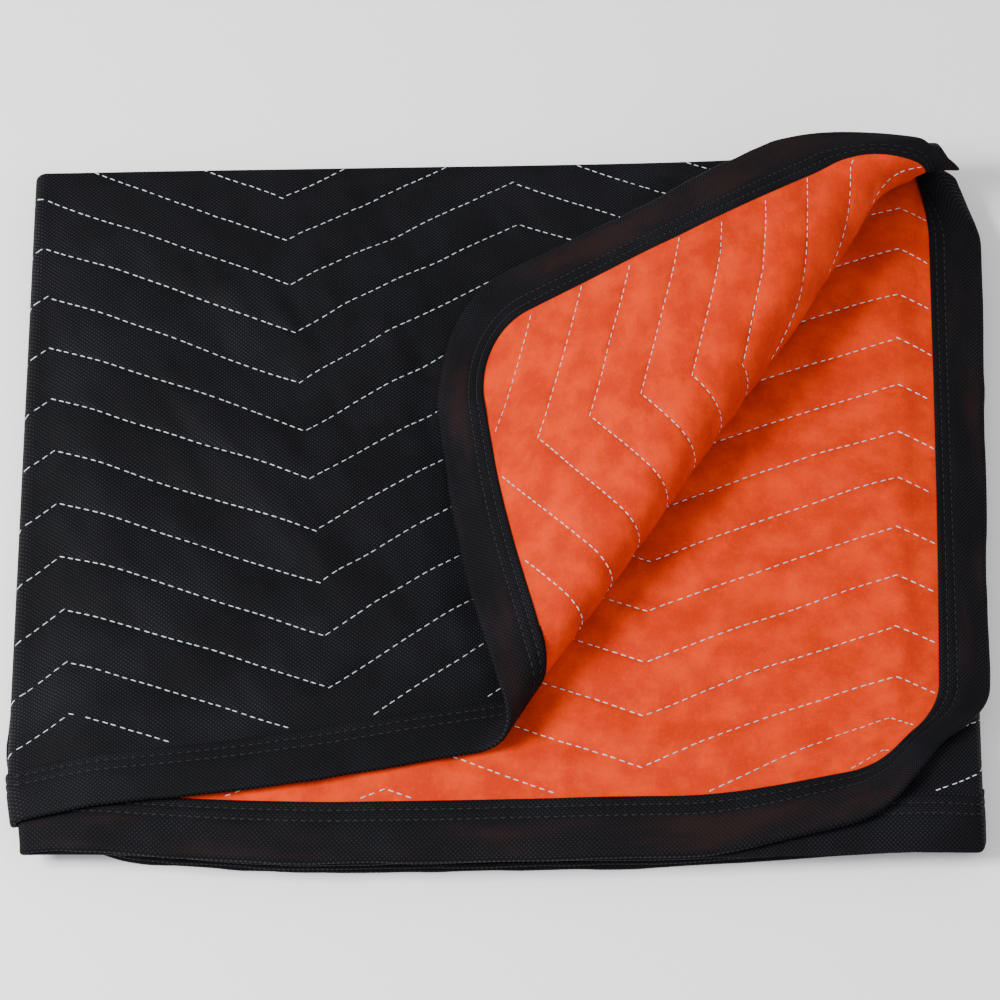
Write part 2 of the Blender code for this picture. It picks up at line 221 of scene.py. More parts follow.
def turn_corner(s, level, y, height, upper, w):
    """Roll the corner: past the line the cloth goes half round a circle, then back."""
    ux, uy = np.cos(ROLL_ANGLE), np.sin(ROLL_ANGLE)
    along = (s - ROLL_X) * ux + (level - ROLL_Y) * uy
    past = (s - ROLL_X) * uy - (level - ROLL_Y) * ux - roll_swing(along)
    radius, settle, kept = (np.interp(along, ROLL[:, 0], ROLL[:, k]) for k in (1, 2, 3))
    turned = upper & (past > 0.0) & (s > LEFT_FOLD + BINDING_WIDTH)
    angle = np.clip(past / radius, 0.0, np.pi)
    over = np.maximum(past - np.pi * radius, 0.0)
    shift = (radius - w) * np.sin(angle) - over - past
    rolled = radius - (radius - w) * np.cos(angle) - w
    settled = PITCH + kept + (2 * radius - PITCH - kept) * (1.0 - smooth(over / settle)) - 2 * w
    rise = np.where(over > 0.0, settled, rolled)
    x = np.where(turned, s + shift * uy, s)
    y = np.where(turned, y - shift * ux, y)
    return x, y, np.where(turned, height + rise, height)


print("the roll's radius runs from", ROLL[:, 1].min(), "to", ROLL[:, 1].max(), "m")

# %% [markdown]
# Next the doubled pad is bent twice, back and forth, into three panels. Both bends are
# half circles too. The right one leans, since the panels aren't laid quite square.

# %% Folding in thirds
RIGHT_REACH, RIGHT_LEAN = 0.004, 0.055


def thirds(s, x, y, height):
    """Bend the doubled pad round two half circles, to the left and then to the right."""
    h = np.pi * PITCH / 2
    x_left = LEFT_FOLD + h
    x_right = x_left + PANEL - 2 * h + RIGHT_REACH - RIGHT_LEAN * (BACK - y)
    drawn = (x_right - x_left) / (PANEL - 2 * h)
    z = 5 * PITCH + height
    turn = np.clip((LEFT_FOLD + h - s) / PITCH, 0.0, np.pi)
    bent = x_left - (PITCH + height) * np.sin(turn) + np.maximum(LEFT_FOLD - h - s, 0.0) * drawn
    first = s < LEFT_FOLD + h
    x = np.where(first, bent, x)
    z = np.where(first, 4 * PITCH + (PITCH + height) * np.cos(turn), z)
    turn = np.clip((RIGHT_FOLD + h - s) / PITCH, 0.0, np.pi)
    bent = x_right + (PITCH - height) * np.sin(turn) - np.maximum(RIGHT_FOLD - h - s, 0.0)
    second = s < RIGHT_FOLD + h
    x = np.where(second, bent, x)
    z = np.where(second, 2 * PITCH + (PITCH - height) * np.cos(turn), z)
    return x, z


print("panels of", round(PANEL, 3), "m, left fold at", round(LEFT_FOLD, 4), "m")

# %% [markdown]
# A laid pad is no neat block. Its middle swells, its back right end is drawn in, the
# front edge lies back at the left, and the front right corner of the under half lies
# back from the layers below it. Each is a soft shift that fades over a stated span.
# Together the steps make one function, which takes any flat point to its folded place.

# %% The whole fold
PACK_TURN = np.radians(1.2)
PACK_CENTRE = (0.01275, 0.00125)
FLOOR_DROP = PITCH / 2 - BINDING_OUTER
DOME, DOME_BACK, DOME_SIDE, DOME_FRONT, DOME_RIM = 0.34, 0.11, 0.06, 0.15, 0.7
PULL_FROM, PULL_SPAN, PULL_DEPTH, PULL_TOP, PULL_UNDER = 0.272, 0.053, 0.065, 0.030, 0.014
BULGE, BULGE_FROM, BULGE_SPAN, BULGE_END = 0.0055, 0.15, 0.15, 0.06
FRONT_FROM, FRONT_SPAN, LOW_BELOW, LOW_SPAN = 0.10, 0.15, 4.2 * PITCH, 2 * PITCH
FRONT_LEFT, LEFT_FROM, LEFT_SPAN = 0.013, 0.10, 0.20
FRONT_RIGHT, RIGHT_FROM, RIGHT_SPAN, FRONT_MID = 0.008, 0.08, 0.20, 0.004
SIDE_IN, SIDE_FROM, SIDE_SPAN = 0.006, 0.268, 0.035
CORNER_IN, CORNER_IN_FROM, CORNER_IN_SPAN = 0.042, 0.10, 0.20
CORNER_ASIDE, CORNER_ASIDE_FROM, CORNER_ASIDE_SPAN = 0.028, 0.20, 0.11
CORNER_FROM, CORNER_SPAN, CORNER_SHORT_SPAN = 0.14, 0.11, 0.07


def dome(x, y, z):
    """Swell the pack's middle: the height grows by a share that fades at each side."""
    front = DOME_RIM + (1.0 - DOME_RIM) * smooth((y + BACK) / DOME_FRONT)
    swell = smooth((BACK - y) / DOME_BACK) * smooth((x + PANEL / 2) / DOME_SIDE)
    swell = swell * smooth((PANEL / 2 - x) / DOME_SIDE) * front
    return z + DOME * 6 * PITCH * swell * np.clip((z - PITCH / 2) / (5 * PITCH), 0.0, 1.0)


def drawn_in(x, y, z):
    """Soft shifts of the plan: ends and edges drawn in, and the left fold bulging."""
    back = 1.0 - smooth((BACK - y) / PULL_DEPTH)
    pull = PULL_UNDER + (PULL_TOP - PULL_UNDER) * smooth((z - 4 * PITCH) / PITCH)
    bulge = BULGE * smooth((-x - BULGE_FROM) / BULGE_SPAN) * smooth((y + BACK) / BULGE_END)
    front = smooth((-y - FRONT_FROM) / FRONT_SPAN)
    low = smooth((LOW_BELOW - z) / LOW_SPAN)
    left = FRONT_LEFT * smooth((-x - LEFT_FROM) / LEFT_SPAN)
    right = FRONT_RIGHT * smooth((x - RIGHT_FROM) / RIGHT_SPAN)
    y = y + front * (left + low * (FRONT_MID + right))
    side = SIDE_IN * smooth((x - SIDE_FROM) / SIDE_SPAN)
    return x - smooth((x - PULL_FROM) / PULL_SPAN) * pull * back - bulge - side, y


def corner_back(s, x, level, y, upper):
    """The under half's front right corner lies back from the corner of the pack."""
    here = ~upper & (s > LEFT_FOLD)
    deep = smooth((-level - CORNER_FROM) / CORNER_SPAN)
    deep_soon = smooth((-level - CORNER_FROM) / CORNER_SHORT_SPAN)
    aside = CORNER_ASIDE * smooth((s - CORNER_ASIDE_FROM) / CORNER_ASIDE_SPAN) * deep_soon
    inwards = CORNER_IN * smooth((s - CORNER_IN_FROM) / CORNER_IN_SPAN) * deep
    return np.where(here, x - aside, x), np.where(here, y + inwards, y)


def fold(a, b, w):
    """The folded place of the flat point (a, b), w above the middle of the layer."""
    s, level, y, height, upper = half_fold(a, b, w)
    x, y, height = turn_corner(s, level, y, height, upper, w)
    x, z = thirds(s, x, y, height)
    x, y = corner_back(s, x, level, y, upper)
    x, y = drawn_in(x, y, z)
    z = np.maximum(dome(x, y, z) - FLOOR_DROP, 0.0)
    c, t = np.cos(PACK_TURN), np.sin(PACK_TURN)
    return np.stack([x * c - y * t - PACK_CENTRE[0], x * t + y * c - PACK_CENTRE[1], z], axis=-1)


CORNER_POINT = fold(np.array([FREE_END]), np.array([HALF_WIDTH]), np.array([0.0]))
print("front right corner folds to", CORNER_POINT.round(3))

# %% [markdown]
# On a real pad the two cloths are held down at each stitched row and puff up between
# rows. The rows run in wide chevrons along the length. In numbers, a zigzag wave is
# taken off b, and the rest divided by the row spacing gives a row place whose whole
# numbers are seams. The puff is about the square root of a sine between seams, so that
# the valley is sharp and the pillow is round.

# %% Chevron quilting
QUILT = {
    -1: {"row": 0.0412, "start": 0.0273, "phase": -0.1413, "half": 0.1523, "slope": 0.598,
         "tilt": 0.0166, "skew": 0.0675},
    1: {"row": 0.0355, "start": 0.0359, "phase": -0.0372, "half": 0.1528, "slope": 0.407,
        "tilt": -0.0177, "skew": 0.0091},
}
QUILT_HEM_GAP = 0.002
PUFF_POWER = 0.55
SKEW_ROUNDS = 4
HEM_EASE = 0.014


def wave(a, b, side):
    """The chevrons of one half: a triangle wave that climbs and falls, with skew and tilt."""
    q = QUILT[side]
    t = ((a + q["skew"] * b - q["phase"]) / q["half"]) % 2.0
    zigzag = q["half"] * q["slope"] * (1.0 - np.abs(t - 1.0))
    return zigzag + q["tilt"] * np.clip(a, LEFT_FOLD, FREE_END)


def ride_wave(a, base, side):
    """The b whose distance from the wave is base; a few rounds settle the skew."""
    b = base
    for _ in range(SKEW_ROUNDS):
        b = base + wave(a, b, side)
    return b


def row_place(a, b, side):
    """Which quilting row the flat point lies in; whole numbers are seams."""
    return (side * (b - wave(a, b, side)) - QUILT[side]["start"]) / QUILT[side]["row"]


def edge_distance(a, b):
    """How far the flat point lies inside the outline, which has rounded corners."""
    pa = np.abs(a - (FREE_END + FAR_END) / 2) - (PAD_LENGTH / 2 - CORNER_RADIUS)
    pb = np.abs(b) - (HALF_WIDTH - CORNER_RADIUS)
    outside = np.hypot(np.maximum(pa, 0.0), np.maximum(pb, 0.0))
    return CORNER_RADIUS - outside - np.minimum(np.maximum(pa, pb), 0.0)


def puff(a, b):
    """Height of the pillow from 0 at a seam to 1 midway, easing to flat at the hem."""
    side = np.where(b < 0, -1, 1)
    place = np.where(side < 0, row_place(a, b, -1), row_place(a, b, 1))
    pillow = np.abs(np.sin(np.pi * place)) ** PUFF_POWER
    return pillow * smooth((edge_distance(a, b) - PUFF_FROM) / HEM_EASE)


print("rows of", QUILT[-1]["row"], "m in chevrons", 2 * QUILT[-1]["half"], "m long")

# %% [markdown]
# Laid cloth is never quite even. The pack swells and sinks in soft creases that run
# through all of its layers, so they are given as ridges and troughs over the ground
# plan: a straight line with a width and a height. Every layer takes its share by how
# high it lies, and none cuts into the next.

# %% Soft creases
# columns: x and y of one end, x and y of the other, width, height (minus for a trough)
CREASES = np.array([
    (-0.275, 0.215, -0.150, 0.120, 0.018, 0.0033),
    (-0.235, 0.165, -0.095, 0.030, 0.016, -0.0030),
    (-0.255, 0.120, -0.080, -0.040, 0.020, 0.0036),
    (-0.280, 0.060, -0.120, -0.080, 0.017, -0.0027),
    (-0.200, 0.040, -0.060, -0.110, 0.014, 0.0030),
    (-0.285, -0.030, -0.130, -0.150, 0.020, 0.0024),
    (-0.120, 0.225, -0.010, 0.150, 0.016, -0.0027),
    (-0.150, 0.175, -0.040, 0.085, 0.013, 0.0024),
    (-0.065, 0.130, -0.030, -0.020, 0.016, -0.0048),
    (-0.045, 0.020, -0.010, -0.115, 0.016, -0.0042),
    (-0.180, -0.130, -0.040, -0.165, 0.018, 0.0021),
    (0.010, -0.150, 0.160, -0.142, 0.013, -0.0021),
    (0.030, -0.178, 0.190, -0.168, 0.012, 0.0021),
    (0.120, -0.060, 0.250, -0.120, 0.020, -0.0024),
    (0.170, 0.040, 0.270, -0.020, 0.020, 0.0024),
])
WAVE_SIZES = ((0.115, 0.0016), (0.048, 0.0008))
CREASE_BOW, CREASE_END = 0.008, 0.35
DROOP_FRONT, DROOP_FRONT_FROM, DROOP_FRONT_SPAN = 0.0045, 0.040, 0.045
DROOP_RIGHT, DROOP_RIGHT_FROM, DROOP_RIGHT_SPAN = 0.0060, 0.034, 0.042
RIM_EASE, RIM_SHARE = 0.05, 0.25
NOISE_CELLS = 256


def lattice_noise(x, y, size, seed):
    """Smooth noise from -1 to 1: random values on a square net, eased between."""
    net = np.random.default_rng(seed).uniform(-1.0, 1.0, (NOISE_CELLS + 1, NOISE_CELLS + 1))
    u, v = x / size + NOISE_CELLS / 2, y / size + NOISE_CELLS / 2
    i, j = np.floor(u).astype(int), np.floor(v).astype(int)
    p, q = smooth(u - i), smooth(v - j)
    i, j = i % NOISE_CELLS, j % NOISE_CELLS
    low = net[i, j] * (1 - p) + net[i + 1, j] * p
    high = net[i, j + 1] * (1 - p) + net[i + 1, j + 1] * p
    return low * (1 - q) + high * q


def relief(x, y):
    """Height of the creases and slow waves over the plan, level towards the rim."""
    total = np.zeros_like(x)
    for x0, y0, x1, y1, width, height in CREASES:
        dx, dy = x1 - x0, y1 - y0
        length = np.hypot(dx, dy)
        t = ((x - x0) * dx + (y - y0) * dy) / length ** 2
        side = ((x - x0) * dy - (y - y0) * dx) / length
        bow = CREASE_BOW * np.sin(np.pi * np.clip(t, 0.0, 1.0))
        ends = smooth(t / CREASE_END) * smooth((1.0 - t) / CREASE_END)
        total = total + height * ends * np.exp(-((side - bow) / width) ** 2)
    for number, (size, height) in enumerate(WAVE_SIZES):
        total = total + height * lattice_noise(x, y, size, 11 + number)
    return total


def rim_droop(x, y):
    """How far the layers sag where they reach past the fold below, at front and right."""
    front = smooth((-BACK + DROOP_FRONT_FROM - y) / DROOP_FRONT_SPAN) * DROOP_FRONT
    right = smooth((x - PANEL / 2 + DROOP_RIGHT_FROM) / DROOP_RIGHT_SPAN) * DROOP_RIGHT
    return front + right


def place(a, b, w):
    """The final place: folded, then moved up or down by its share of the relief."""
    point = fold(a, b, w)
    x, y, z = point[..., 0], point[..., 1], point[..., 2]
    share = np.clip((z - PITCH / 2) / (5 * PITCH), 0.0, 1.0)
    rim = smooth((PANEL / 2 - np.abs(x)) / RIM_EASE) * smooth((BACK - np.abs(y)) / RIM_EASE)
    z = z + share * (relief(x, y) * (RIM_SHARE + (1.0 - RIM_SHARE) * rim) - rim_droop(x, y))
    return np.stack([x, y, z], axis=-1)


print(len(CREASES), "creases laid")

# %% [markdown]
# Each cloth is one net of faces with a row for every place along the pad. The rows
# crowd together where the pad folds, so that the bends are round. The last stretch
# of each end is drawn in to follow the rounded corners. The top of the pack is free
# to puff more than the layers that are pressed between others.

# %% Helpers for nets
END_STRETCH = 0.20
CUT_IN = 0.003
CLOTH_HALF, CLOTH_RADIUS = HALF_WIDTH - CUT_IN, CORNER_RADIUS - CUT_IN


def spaced(knots):
    """Samples along a line from (place, step after it) pairs, ends included."""
    parts = []
    for (start, step), (end, _) in zip(knots[:-1], knots[1:]):
        count = max(1, int(round((end - start) / step)))
        parts.append(np.linspace(start, end, count, endpoint=False))
    return np.concatenate(parts + [np.array([knots[-1][0]])])


def corner_spaced(step):
    """Samples of b over one rounded corner, even along its arc, from the rim inwards."""
    angle = np.linspace(np.pi / 2, 0.0, max(2, int(CLOTH_RADIUS * np.pi / 2 / step)))
    return CLOTH_HALF - CLOTH_RADIUS + CLOTH_RADIUS * np.sin(angle)


def end_inset(b):
    """How much shorter the pad is at b than in its middle, from the corner's circle."""
    past = np.clip(np.abs(b) - (CLOTH_HALF - CLOTH_RADIUS), 0.0, CLOTH_RADIUS)
    return CLOTH_RADIUS - np.sqrt(CLOTH_RADIUS ** 2 - past ** 2)


def net_faces(rows, columns, flip):
    """Quads of a net of rows by columns, wound the other way if flip is set."""
    index = np.arange(rows * columns).reshape(rows, columns)
    quads = np.stack([index[:-1, :-1], index[1:, :-1], index[1:, 1:], index[:-1, 1:]], axis=-1)
    quads = quads.reshape(-1, 4)
    return (quads[:, ::-1] if flip else quads).tolist()


def mesh_piece(name, points, faces, flat):
    """A smooth mesh object from arrays, with its flat place as the UV map, in metres."""
    mesh = bpy.data.meshes.new(name)
    mesh.from_pydata(points.reshape(-1, 3), [], faces)
    mesh.shade_smooth()
    layer = mesh.uv_layers.new(name="flat")
    corner = np.empty(len(mesh.loops), dtype=np.int32)
    mesh.loops.foreach_get("vertex_index", corner)
    layer.data.foreach_set("uv", flat.reshape(-1, 2)[corner].astype(np.float32).ravel())
    piece = bpy.data.objects.new(name, mesh)
    bpy.context.scene.collection.objects.link(piece)
    return piece


print("net helpers ready")

# %% [markdown]
# The net's lines follow the chevrons, so that a seam lies on a line and comes out
# crisp. Between seams the lines stand close at the seam and apart on the pillow.
# Near the half fold and near the rim they ease back to straight.

# %% Lines of the cloth net
FOLD_STEP, BENT = 0.0016, 0.012
TOP_STEP, HIDDEN_STEP, CORNER_STEP = 0.0034, 0.012, 0.008
TIGHT_STEP, OPEN_STEP, KEEP_OFF = 0.001, 0.0032, 0.001
ROW_SHARES = np.array([0.0, 0.03, 0.08, 0.17, 0.29, 0.43, 0.57, 0.71, 0.83, 0.92, 0.97])
STRAIGHT_TO, WAVY_FROM = 0.006, 0.068
WAVY_TO, STRAIGHT_FROM = HALF_WIDTH - 0.100, HALF_WIDTH - 0.038
MEAN_SHIFT = {side: QUILT[side]["half"] * QUILT[side]["slope"] / 2 for side in QUILT}
SKEW_EASE = 0.10


def along_lines():
    """Places along the pad, crowded at both folds, with one on each chevron's point."""
    line = spaced([
        (FAR_END + CUT_IN, HIDDEN_STEP), (RIGHT_FOLD - BENT, FOLD_STEP), (RIGHT_FOLD + BENT, HIDDEN_STEP),
        (LEFT_FOLD - BENT, FOLD_STEP), (LEFT_FOLD + BENT, TOP_STEP), (FREE_END - CUT_IN, 0.0),
    ])
    for side in QUILT:
        for apex in QUILT[side]["phase"] + QUILT[side]["half"] * np.arange(-3, 4):
            if LEFT_FOLD + BENT < apex < FREE_END - BENT:
                line[np.argmin(np.abs(line - apex))] = apex
    return line


def across_lines(side):
    """Places from the half fold to the rim on one side, with one on each seam."""
    q = QUILT[side]
    rows = q["start"] + side * MEAN_SHIFT[side] + q["row"] * (np.arange(-4, 16)[:, None] + ROW_SHARES)
    rows = rows.ravel()
    near = spaced([(0.0, TIGHT_STEP), (STRAIGHT_TO, OPEN_STEP), (WAVY_FROM, 0.0)])
    rim = corner_spaced(CORNER_STEP)[::-1]
    rows = rows[(rows > WAVY_FROM + KEEP_OFF) & (rows < STRAIGHT_FROM - KEEP_OFF)]
    return side * np.concatenate([near, rows, rim[rim > STRAIGHT_FROM]])


def follow_folds(s, b):
    """Skew the net's lines so that they run along the left fold, easing off past it."""
    before = smooth((s - RIGHT_FOLD) / PANEL)
    after = 1.0 - smooth((s - LEFT_FOLD - BENT) / SKEW_EASE)
    return s + lean(b) * np.where(s < LEFT_FOLD, before, after)


def follow_chevrons(a, base):
    """Shift the net's lines by the zigzag, except near the half fold and the rim."""
    side = np.where(base < 0, -1, 1)
    shifted = np.where(side < 0, ride_wave(a, base - MEAN_SHIFT[-1], -1),
                       ride_wave(a, base - MEAN_SHIFT[1], 1))
    depth = np.abs(base)
    rising = np.clip((depth - STRAIGHT_TO) / (WAVY_FROM - STRAIGHT_TO), 0.0, 1.0)
    falling = np.clip((STRAIGHT_FROM - depth) / (STRAIGHT_FROM - WAVY_TO), 0.0, 1.0)
    return base + (shifted - base) * rising * falling


def cloth_net():
    """The flat net of a cloth: (a, b) for every point of rows by columns."""
    across = np.concatenate([across_lines(-1)[:0:-1], across_lines(1)])
    s, base = np.meshgrid(along_lines(), across, indexing="ij")
    a = follow_folds(s, base)
    b = follow_chevrons(a, base)
    inset = end_inset(b)
    near = np.clip((a - FREE_END + END_STRETCH) / END_STRETCH, 0.0, 1.0)
    far = np.clip((FAR_END + END_STRETCH - a) / END_STRETCH, 0.0, 1.0)
    return a + inset * (far - near), b


A_NET, B_NET = cloth_net()
print("net of", A_NET.shape, "points")

# %% [markdown]
# The filling pushes each cloth outwards between seams. The seams also gather the cloth
# a little, which leaves fine slanting puckers, strongest in the middle of the black
# side. Where the pad folds, the cloth is pressed flat.

# %% Height of the cloths
PUCKER_WIDTH, PUCKER_LENGTH, PUCKER_HEIGHT = 0.0105, 0.060, 0.0014
PUCKER_ANGLE = np.radians(-61.0)
PUCKER_FINE, PUCKER_ALL = 0.4, 0.35
PUCKER_MIDDLE, PUCKER_SPREAD = (-0.12, 0.07), (0.13, 0.17)
TOP_PUFF = 0.0008
PRESS_GAP, PRESS_SPAN = 0.008, 0.02
HALF_PRESS_GAP = 0.004
FLOOR_SLACK = 0.0004
FLOOR_FROM = RIGHT_FOLD - np.pi * PITCH


def pucker(a, b):
    """Fine slanting gathers: noise drawn out along one direction, flat at each seam."""
    point = place(a, b, np.zeros_like(a))
    x, y = point[..., 0], point[..., 1]
    c, t = np.cos(PUCKER_ANGLE), np.sin(PUCKER_ANGLE)
    along, across = x * c + y * t, y * c - x * t
    grain = lattice_noise(across, along * PUCKER_WIDTH / PUCKER_LENGTH, PUCKER_WIDTH, 5)
    fine = lattice_noise(across, along * PUCKER_WIDTH / PUCKER_LENGTH, PUCKER_WIDTH / 2, 6)
    dx, dy = (x - PUCKER_MIDDLE[0]) / PUCKER_SPREAD[0], (y - PUCKER_MIDDLE[1]) / PUCKER_SPREAD[1]
    share = PUCKER_ALL + (1.0 - PUCKER_ALL) * np.exp(-dx ** 2 - dy ** 2)
    return PUCKER_HEIGHT * (grain + PUCKER_FINE * fine) * share


def fold_press(a, b):
    """1 on the open cloth, 0 on the three folds."""
    away = smooth((np.abs(b) - HALF_PRESS_GAP) / PRESS_SPAN)
    away = away * smooth((np.abs(a - LEFT_FOLD) - PRESS_GAP) / PRESS_SPAN)
    return away * smooth((np.abs(a - RIGHT_FOLD) - PRESS_GAP) / PRESS_SPAN)


def cloth_height(a, b, top, gather):
    """Outward height of a cloth over the pad's middle, top marks its free surface."""
    pillow = puff(a, b)
    press = fold_press(a, b)
    rise = (CREST_FACE - SEAM_FACE + TOP_PUFF * top) * pillow
    rise = rise + gather * pucker(a, b) * np.minimum(pillow * 1.6, 1.0)
    return HEM_FACE + press * (SEAM_FACE - HEM_FACE + rise)


def black_height(a, b):
    """The black cloth's height; the part on the floor is pressed level with the binding."""
    top = ((b < 0) & (a > LEFT_FOLD)).astype(float)
    height = cloth_height(a, b, top, 1.0)
    on_floor = (b > np.pi * FOLD_RADIUS) & (a < FLOOR_FROM)
    return np.where(on_floor, np.maximum(height, BINDING_OUTER - FLOOR_SLACK), height)


def orange_height(a, b):
    """The orange cloth's height, on the other side of the pad."""
    top = (a > LEFT_FOLD).astype(float)
    return cloth_height(a, b, 0.6 * top, 0.35)


print("heights from", HEM_FACE, "to", CREST_FACE + TOP_PUFF, "m")

# %% [markdown]
# Nonwoven cloth is a felt of fine plastic threads, fused in a net of small embossed
# dots. The dots are smooth and catch the light, the ground between them is dull. The
# shaders draw the dots as a slanting lattice on the flat place, so that they follow
# the cloth through every fold.

# %% Helpers for shaders
SHEEN = 0.07


def new_material(name, rough):
    """A node material and its shader, with the roughness set on the shader's socket."""
    material = bpy.data.materials.new(name)
    material.use_nodes = True
    shader = material.node_tree.nodes["Principled BSDF"]
    shader.inputs["Roughness"].default_value = rough
    shader.inputs["Specular IOR Level"].default_value = SHEEN
    return material, shader


def feed(tree, socket, value):
    """Put a number, a colour or another node's output into a socket."""
    if isinstance(value, bpy.types.NodeSocket):
        tree.links.new(value, socket)
    else:
        socket.default_value = value


def math(tree, operation, *values):
    """A math node on one to three values; returns its output."""
    node = tree.nodes.new("ShaderNodeMath")
    node.operation = operation
    for socket, value in zip(node.inputs, values):
        feed(tree, socket, value)
    return node.outputs[0]


def noise(tree, vector, scale, detail, rough=0.55):
    """A noise node on a vector; returns its value from 0 to 1."""
    node = tree.nodes.new("ShaderNodeTexNoise")
    feed(tree, node.inputs["Vector"], vector)
    node.inputs["Scale"].default_value = scale
    node.inputs["Detail"].default_value = detail
    node.inputs["Roughness"].default_value = rough
    return node.outputs[0]


def stretched(tree, vector, scale):
    """The vector with each part multiplied by its own scale."""
    node = tree.nodes.new("ShaderNodeVectorMath")
    node.operation = "MULTIPLY"
    feed(tree, node.inputs[0], vector)
    node.inputs[1].default_value = scale
    return node.outputs[0]


def ramp(tree, value, low, high):
    """The value eased from 0 at low to 1 at high."""
    node = tree.nodes.new("ShaderNodeMapRange")
    node.interpolation_type = "SMOOTHSTEP"
    feed(tree, node.inputs["Value"], value)
    node.inputs["From Min"].default_value = low
    node.inputs["From Max"].default_value = high
    return node.outputs["Result"]


def mix(tree, share, first, second):
    """Two colours mixed by a share from 0 to 1."""
    node = tree.nodes.new("ShaderNodeMix")
    node.data_type = "RGBA"
    feed(tree, node.inputs["Factor"], share)
    feed(tree, node.inputs["A"], first)
    feed(tree, node.inputs["B"], second)
    return node.outputs["Result"]


def bump(tree, height, distance, strength, under=None):
    """A bump node for a height; under is the normal of a coarser bump."""
    node = tree.nodes.new("ShaderNodeBump")
    feed(tree, node.inputs["Height"], height)
    node.inputs["Distance"].default_value = distance
    node.inputs["Strength"].default_value = strength
    if under is not None:
        feed(tree, node.inputs["Normal"], under)
    return node.outputs["Normal"]


def flat_place(tree):
    """The flat place in metres from the UV map: the vector, and its two parts."""
    node = tree.nodes.new("ShaderNodeUVMap")
    node.uv_map = "flat"
    parts = tree.nodes.new("ShaderNodeSeparateXYZ")
    tree.links.new(node.outputs["UV"], parts.inputs[0])
    return node.outputs["UV"], parts.outputs[0], parts.outputs[1]


def emboss(tree, u, v, pitch):
    """Embossed dots on a slanting lattice: the product of two crossed waves, cut off low."""
    turns = 2 * np.pi / pitch
    first = math(tree, "COSINE", math(tree, "MULTIPLY", u, turns))
    second = math(tree, "COSINE", math(tree, "MULTIPLY", v, turns))
    return ramp(tree, math(tree, "MULTIPLY", first, second), 0.15, 0.75)


print("shader helpers ready")

# %% [markdown]
# The black cloth is a very dark blue grey. Its dots are a shade lighter, partly in
# their own colour and partly as painted sheen, and the fibres between them run
# mostly one way. Broad worn patches are a little duller.

# %% Black cloth shader
DOT_PITCH = 0.0029
BLACK_GROUND = (0.0014, 0.0014, 0.0022, 1.0)
# The dots' colour is partly their own lighter tone and partly painted sheen, standing in for the highlight
# that the low specular level leaves out.
BLACK_DOT_AND_PAINTED_SHEEN = (0.0165, 0.0170, 0.0225, 1.0)
BLACK_HAZE = (0.0055, 0.0055, 0.0080, 1.0)


def black_cloth(name, dot_and_sheen_strength):
    """Dull black felt with shinier embossed dots, lighter partly in their own colour and partly as painted
    sheen; returns its parts too.
    """
    material, shader = new_material(name, 0.7)
    tree = material.node_tree
    place_uv, u, v = flat_place(tree)
    dots = emboss(tree, u, v, DOT_PITCH)
    fibres = noise(tree, stretched(tree, place_uv, (260.0, 1500.0, 1.0)), 1.0, 3.0, 0.6)
    haze = ramp(tree, noise(tree, place_uv, 16.0, 4.0), 0.35, 0.75)
    worn = math(tree, "MULTIPLY", haze, 0.5)
    dots_and_painted_sheen = math(tree, "MULTIPLY", dots, math(tree, "ADD", worn, dot_and_sheen_strength))
    colour = mix(tree, math(tree, "MULTIPLY", haze, 0.30), BLACK_GROUND, BLACK_HAZE)
    colour = mix(tree, math(tree, "MULTIPLY", ramp(tree, fibres, 0.45, 0.8), 0.35), colour, BLACK_HAZE)
    # Painted sheen: the dots are mixed towards a lighter colour, partly their own tone and partly a painted
    # highlight.
    colour = mix(tree, dots_and_painted_sheen, colour, BLACK_DOT_AND_PAINTED_SHEEN)
    rough = math(tree, "SUBTRACT", 0.72, math(tree, "MULTIPLY", dots, 0.24))
    tree.links.new(rough, shader.inputs["Roughness"])
    fine = bump(tree, fibres, 0.0002, 0.5)
    normal = bump(tree, dots, 0.0003, 0.7, fine)
    tree.links.new(normal, shader.inputs["Normal"])
    return material, tree, shader, colour, v


BLACK_CLOTH, tree, shader, colour, _ = black_cloth("black_nonwoven", 0.45)
tree.links.new(colour, shader.inputs["Base Color"])
print("black cloth: dots every", round(DOT_PITCH / 2 ** 0.5, 4), "m")

# %% [markdown]
# The orange cloth is the same felt without a hard emboss. It is mottled where more or
# fewer fibres lie, with fine hairs, a few pale specks and some dusty smudges.

# %% Orange cloth shader
ORANGE_BASE = (0.60, 0.034, 0.0, 1.0)
ORANGE_DEEP = (0.42, 0.018, 0.0, 1.0)
ORANGE_PALE = (0.84, 0.068, 0.0, 1.0)
ORANGE_DUST = (0.26, 0.012, 0.0, 1.0)

ORANGE_CLOTH, shader = new_material("orange_nonwoven", 0.62)
tree = ORANGE_CLOTH.node_tree
place_uv = flat_place(tree)[0]
mottle = noise(tree, place_uv, 38.0, 6.0, 0.62)
felt = noise(tree, place_uv, 420.0, 4.0, 0.7)
hairs = noise(tree, stretched(tree, place_uv, (1400.0, 300.0, 1.0)), 1.0, 3.0, 0.6)
specks = ramp(tree, noise(tree, stretched(tree, place_uv, (420.0, 160.0, 1.0)), 1.0, 1.0), 0.77, 0.84)
smudges = ramp(tree, noise(tree, place_uv, 9.0, 3.0), 0.56, 0.78)
colour = mix(tree, ramp(tree, mottle, 0.35, 0.70), ORANGE_DEEP, ORANGE_BASE)
colour = mix(tree, math(tree, "MULTIPLY", ramp(tree, felt, 0.50, 0.80), 0.35), colour, ORANGE_PALE)
colour = mix(tree, math(tree, "MULTIPLY", specks, 0.5), colour, ORANGE_PALE)
colour = mix(tree, math(tree, "MULTIPLY", smudges, 0.22), colour, ORANGE_DUST)
